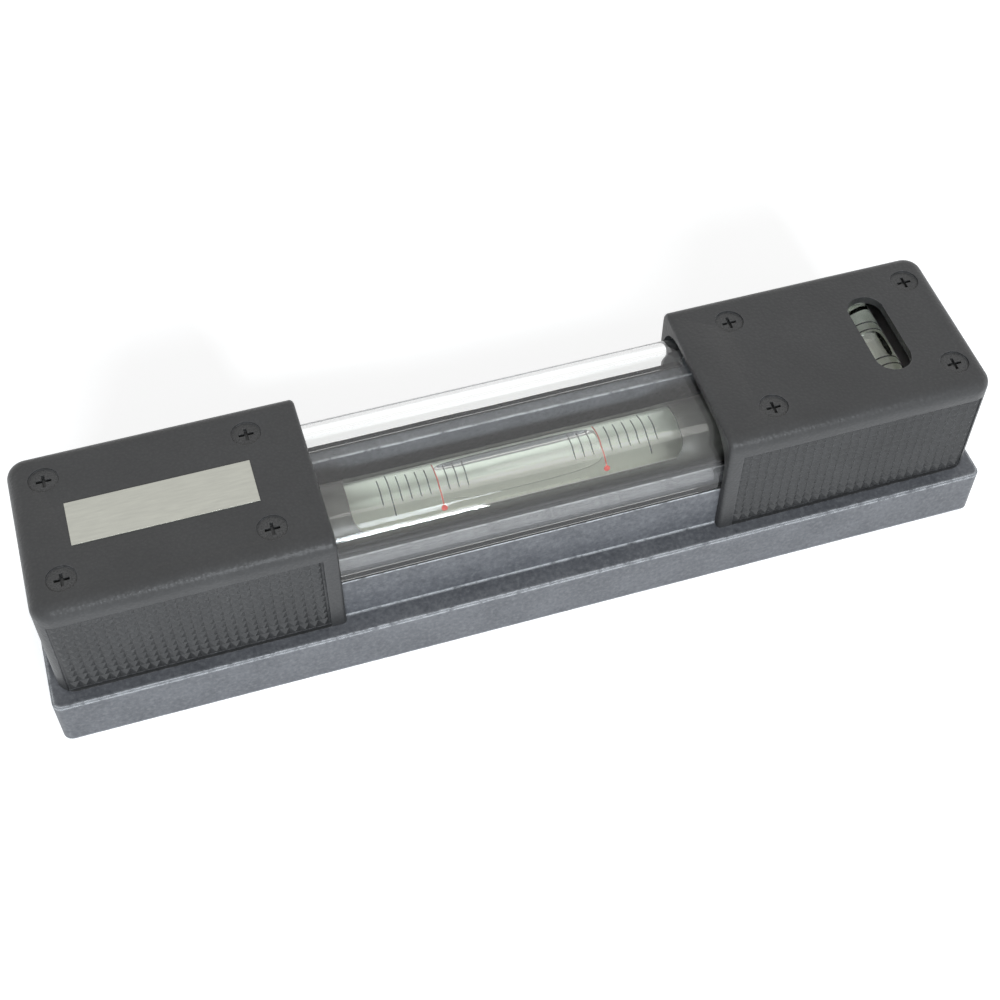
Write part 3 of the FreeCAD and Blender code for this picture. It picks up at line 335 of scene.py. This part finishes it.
def hood_profile(half_width, top, radius, foot, steps=16):
    """Arch from the front foot over the top to the back foot, as (y, z) points."""
    points = [(-half_width, foot)]
    for side in (-1, 1):
        for step in range(steps + 1):
            share = step / steps
            turn = math.pi - share * math.pi / 2 if side < 0 else math.pi / 2 - share * math.pi / 2
            points.append((side * (half_width - radius) + radius * math.cos(turn),
                           top - radius + radius * math.sin(turn)))
    points.append((half_width, foot))
    return points


def build_hood():
    low, high = cad("clear_hood")
    wall, corner = 2.6 * MM, 9.0 * MM
    outer = hood_profile(high.y, high.z, corner, low.z)
    inner = hood_profile(high.y - wall, high.z - wall, corner - wall, low.z)
    outline = outer + inner[::-1]
    work = bmesh.new()
    ends = []
    for x in (low.x, high.x):
        ends.append([work.verts.new((x, y, z)) for y, z in outline])
    count = len(outline)
    for index in range(count):
        following = (index + 1) % count
        face = work.faces.new((ends[0][index], ends[0][following], ends[1][following],
                               ends[1][index]))
        face.smooth = True
    half = count // 2
    for end in ends:
        for index in range(half - 1):
            work.faces.new((end[index], end[index + 1], end[count - 2 - index],
                            end[count - 1 - index]))
    bmesh.ops.recalc_face_normals(work, faces=work.faces)
    mesh = bpy.data.meshes.new("hood_shell")
    work.to_mesh(mesh)
    work.free()
    mesh.set_sharp_from_angle(angle=math.radians(35))
    return new_piece("hood_shell", mesh, [hood_clear], "level_body", ["clear_hood"])


build_hood()


def closed_lathe(loops, x_place, axis_z, along, steps, caps=True):
    """Mesh of closed turned skins. Each loop is (points, material slot, inside out or not)."""
    work = bmesh.new()
    for points, slot, inward in loops:
        rings = []
        for run, radius in points:
            ring = []
            for step in range(steps):
                turn = 2 * math.pi * step / steps
                across, rise = radius * math.cos(turn), radius * math.sin(turn)
                if along == "x":
                    point = (x_place + run, across, axis_z + rise)
                else:
                    point = (x_place + across, run, axis_z + rise)
                ring.append(work.verts.new(point))
            rings.append(ring)
        faces = []
        for first, second in zip(rings, rings[1:]):
            for step in range(steps):
                following = (step + 1) % steps
                faces.append(work.faces.new((first[step], first[following], second[following],
                                             second[step])))
        faces.append(work.faces.new(rings[0]))
        faces.append(work.faces.new(rings[-1]))
        bmesh.ops.recalc_face_normals(work, faces=faces)
        for face in faces:
            face.smooth = True
            face.material_index = slot
        if inward:
            bmesh.ops.reverse_faces(work, faces=faces)
    mesh = bpy.data.meshes.new("turned")
    work.to_mesh(mesh)
    work.free()
    mesh.set_sharp_from_angle(angle=math.radians(40))
    return mesh


def rounded_rod(low, high, radius, rounding, steps=6):
    """Profile of a rod with rounded ends, from low to high."""
    points = []
    for step in range(steps + 1):
        turn = math.pi / 2 * step / steps
        points.append((low + rounding * (1 - math.sin(turn)), radius - rounding * (1 - math.cos(turn))))
    points = points[::-1]
    left = [(low + rounding * (1 - math.cos(turn)), radius - rounding * (1 - math.sin(turn)))
            for turn in (math.pi / 2 * step / steps for step in range(steps + 1))]
    right = [(high - (run - low), rise) for run, rise in left[::-1]]
    return left + right


def build_vials():
    low, high = cad("main_vial_glass")
    radius = (high.z - low.z) / 2
    axis_z = (high.z + low.z) / 2
    wall, end = 1.2 * MM, 1.5 * MM
    bore = radius - wall
    mesh = closed_lathe([
        (rounded_rod(low.x, high.x, radius, 1.0 * MM), 0, False),
        (rounded_rod(low.x + end, high.x - end, bore, 0.8 * MM), 1, True),
    ], 0, axis_z, "x", 96)
    new_piece("filled_main_tube", mesh, [vial_clear, vial_bore], "vial_carrier",
              ["main_vial_glass", "main_vial_spirit"])

    low, high = cad("cross_vial_glass")
    middle = (low.x + high.x) / 2
    radius = (high.z - low.z) / 2
    axis_z = (high.z + low.z) / 2
    wall, end = 0.8 * MM, 1.0 * MM
    bore = radius - wall
    mesh = closed_lathe([
        (rounded_rod(low.y, high.y, radius, 0.6 * MM), 0, False),
        (rounded_rod(low.y + end, high.y - end, bore, 0.8 * MM), 1, True),
    ], middle, axis_z, "y", 64)
    new_piece("filled_cross_tube", mesh, [vial_clear, vial_bore], "level_body",
              ["cross_vial_glass", "cross_vial_spirit"])


build_vials()


def build_bubble(name, node, body, along, bore, axis_z, flat):
    """Smooth bubble under the crown of a bore, with rounded ends and a slightly dished foot."""
    low, high = cad(node)
    middle = (low + high) / 2
    half_run = (high.x - low.x) / 2 if along == "x" else (high.y - low.y) / 2
    across_steps, run_steps = 28, 72
    clearance = 0.06 * MM
    work = bmesh.new()
    rings = []
    depth_full = high.z - low.z
    for run_step in range(1, run_steps):
        share = -math.cos(math.pi * run_step / run_steps)
        end = (1 - abs(share) ** flat) ** (1 / flat)
        run = share * half_run
        depth = depth_full * end
        radius = bore - clearance
        crown = math.sqrt(max(0.0, 1 - (1 - depth / radius) ** 2)) * radius
        ring = []
        for step in range(across_steps):
            turn = 2 * math.pi * step / across_steps
            side = math.sin(turn) * crown * 0.98
            top = math.sqrt(max(radius ** 2 - side ** 2, 0))
            foot = radius - depth
            belly = foot + (top - foot) * 0.0
            height = top if math.cos(turn) > 0 else belly
            lift = math.cos(turn)
            if lift > 0:
                z = foot + (top - foot) * lift ** 0.35
            else:
                z = foot - 0.04 * MM * abs(lift)
            if along == "x":
                point = (middle.x + run, side, axis_z + z)
            else:
                point = (middle.x + side, middle.y + run, axis_z + z)
            ring.append(work.verts.new(point))
        rings.append(ring)
    for first, second in zip(rings, rings[1:]):
        for step in range(across_steps):
            following = (step + 1) % across_steps
            work.faces.new((first[step], first[following], second[following], second[step]))
    work.faces.new(rings[0])
    work.faces.new(rings[-1])
    bmesh.ops.recalc_face_normals(work, faces=work.faces)
    for face in work.faces:
        face.smooth = True
    mesh = bpy.data.meshes.new(name)
    work.to_mesh(mesh)
    work.free()
    return new_piece(name, mesh, [bubble_clear], body, [node])


main_low, main_high = cad("main_vial_glass")
build_bubble("long_bubble", "main_bubble", "main_bubble_air", "x",
             (main_high.z - main_low.z) / 2 - 1.2 * MM, (main_high.z + main_low.z) / 2, 3.0)
cross_low, cross_high = cad("cross_vial_glass")
build_bubble("short_bubble", "cross_bubble", "cross_bubble_air", "y",
             (cross_high.z - cross_low.z) / 2 - 0.8 * MM, (cross_high.z + cross_low.z) / 2, 2.2)


# ---- floor, world and lamps --------------------------------------------------------------------

def build_floor():
    mesh = bpy.data.meshes.new("floor")
    reach = 3.0
    mesh.from_pydata([(-reach, -reach, 0), (reach, -reach, 0), (reach, reach, 0), (-reach, reach, 0)],
                     [], [(0, 1, 2, 3)])
    floor = bpy.data.objects.new("floor", mesh)
    scene.collection.objects.link(floor)
    m = Shade("floor")
    path = m.add("LightPath")
    seen = m.maths("MAXIMUM", path.outputs["Is Camera Ray"],
                   m.maths("MAXIMUM", path.outputs["Is Glossy Ray"],
                           path.outputs["Is Transmission Ray"]))
    paper = m.add("BsdfDiffuse", {"Color": (0.86, 0.86, 0.86, 1)}).outputs[0]
    glow = m.add("Emission", {"Color": (1, 1, 1, 1), "Strength": m.maths("MULTIPLY", seen, 0.55)})
    total = m.add("AddShader")
    m.feed(total.inputs[0], paper)
    m.feed(total.inputs[1], glow.outputs[0])
    mesh.materials.append(m.finish(total.outputs[0]))


def build_world():
    world = bpy.data.worlds.new("studio")
    world.use_nodes = True
    tree = world.node_tree
    tree.nodes.clear()
    path = tree.nodes.new("ShaderNodeLightPath")
    white = tree.nodes.new("ShaderNodeBackground")
    white.inputs["Color"].default_value = (1, 1, 1, 1)
    white.inputs["Strength"].default_value = 1.0
    soft = tree.nodes.new("ShaderNodeBackground")
    soft.inputs["Color"].default_value = (0.97, 0.98, 1.0, 1)
    soft.inputs["Strength"].default_value = 0.32
    seen = None
    for name in ("Is Camera Ray", "Is Glossy Ray", "Is Transmission Ray"):
        if seen is None:
            seen = path.outputs[name]
            continue
        most = tree.nodes.new("ShaderNodeMath")
        most.operation = "MAXIMUM"
        tree.links.new(seen, most.inputs[0])
        tree.links.new(path.outputs[name], most.inputs[1])
        seen = most.outputs[0]
    mixer = tree.nodes.new("ShaderNodeMixShader")
    tree.links.new(seen, mixer.inputs[0])
    tree.links.new(soft.outputs[0], mixer.inputs[1])
    tree.links.new(white.outputs[0], mixer.inputs[2])
    output = tree.nodes.new("ShaderNodeOutputWorld")
    tree.links.new(mixer.outputs[0], output.inputs["Surface"])
    scene.world = world


def lamp(name, place, size, power, colour, mirrored=True, aim=(0, 0, 0.02)):
    data = bpy.data.lights.new(name, "AREA")
    data.shape = "RECTANGLE"
    data.size, data.size_y = size
    data.energy = power
    data.color = colour
    item = bpy.data.objects.new(name, data)
    item.location = place
    item.rotation_euler = (Vector(aim) - Vector(place)).to_track_quat("-Z", "Y").to_euler()
    item.visible_glossy = mirrored
    scene.collection.objects.link(item)


build_floor()
build_world()
lamp("front_box", (-0.2, -0.88, 0.48), (0.6, 0.3), 8.5, (0.86, 0.93, 1.0), False)
lamp("spark_box", (0.1, -0.87, 0.52), (0.12, 0.10), 3.0, (0.9, 0.95, 1.0))
lamp("top_box", (0.3, 0.2, 1.1), (0.5, 0.5), 2.4, (1.0, 0.99, 0.95), False)

scene.view_settings.view_transform = "Standard"
